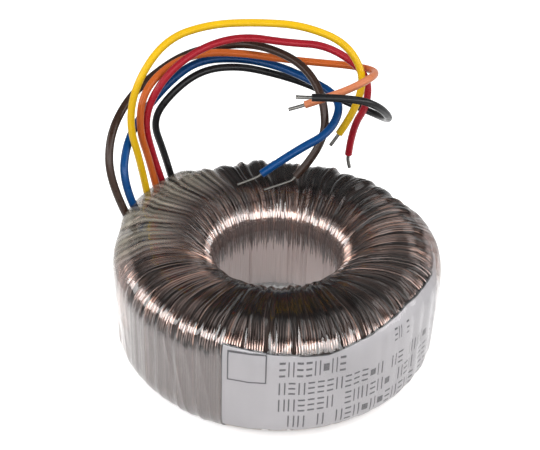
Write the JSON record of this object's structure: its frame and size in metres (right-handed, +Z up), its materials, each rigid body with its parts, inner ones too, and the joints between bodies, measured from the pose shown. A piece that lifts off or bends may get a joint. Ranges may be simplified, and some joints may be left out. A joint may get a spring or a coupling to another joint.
{
  "type": "toroidal transformer",
  "caption": "Ring-shaped mains transformer: strip-wound core under copper windings and clear pleated film, with coloured flying leads that rise from its shoulder and curl over the ring.",
  "frame": {"origin": "centre of the ring's base, on the plane it stands on", "axes": "+Z up along the ring's axis; the leads leave the upper shoulder towards -X and +Y"},
  "size_m": [0.0849, 0.082, 0.0783],
  "materials": {
    "core_steel": "grain-oriented steel strip, dull",
    "polyester_tape": "amber polyester tape",
    "enamelled_wire": "dark enamelled copper, glossy",
    "clear_film": "clear polyester film, glossy, pleated",
    "label_paper": "grey-white, printed in plain grey bars",
    "sleeve": "translucent insulating sleeve",
    "tinned_wire": "tinned copper strands",
    "brown_pvc": "brown insulation, satin",
    "blue_pvc": "blue insulation, satin",
    "yellow_pvc": "yellow insulation, satin",
    "orange_pvc": "orange insulation, satin",
    "red_pvc": "red insulation, satin",
    "black_pvc": "black insulation, satin"
  },
  "bodies": {
    "root": {"core": "core_steel", "core_wrap": "polyester_tape", "primary_winding": "enamelled_wire", "interwinding_tape": "polyester_tape", "secondary_winding_a": "enamelled_wire", "secondary_winding_b": "enamelled_wire", "outer_film": "clear_film", "label": "label_paper", "brown_sleeve": "sleeve", "brown_lead": "brown_pvc", "brown_wire": "tinned_wire", "blue_sleeve": "sleeve", "blue_lead": "blue_pvc", "blue_wire": "tinned_wire", "yellow_sleeve": "sleeve", "yellow_lead": "yellow_pvc", "yellow_wire": "tinned_wire", "orange_sleeve": "sleeve", "orange_lead": "orange_pvc", "orange_wire": "tinned_wire", "red_sleeve": "sleeve", "red_lead": "red_pvc", "red_wire": "tinned_wire", "black_sleeve": "sleeve", "black_lead": "black_pvc", "black_wire": "tinned_wire"}
  },
  "joints": []
}
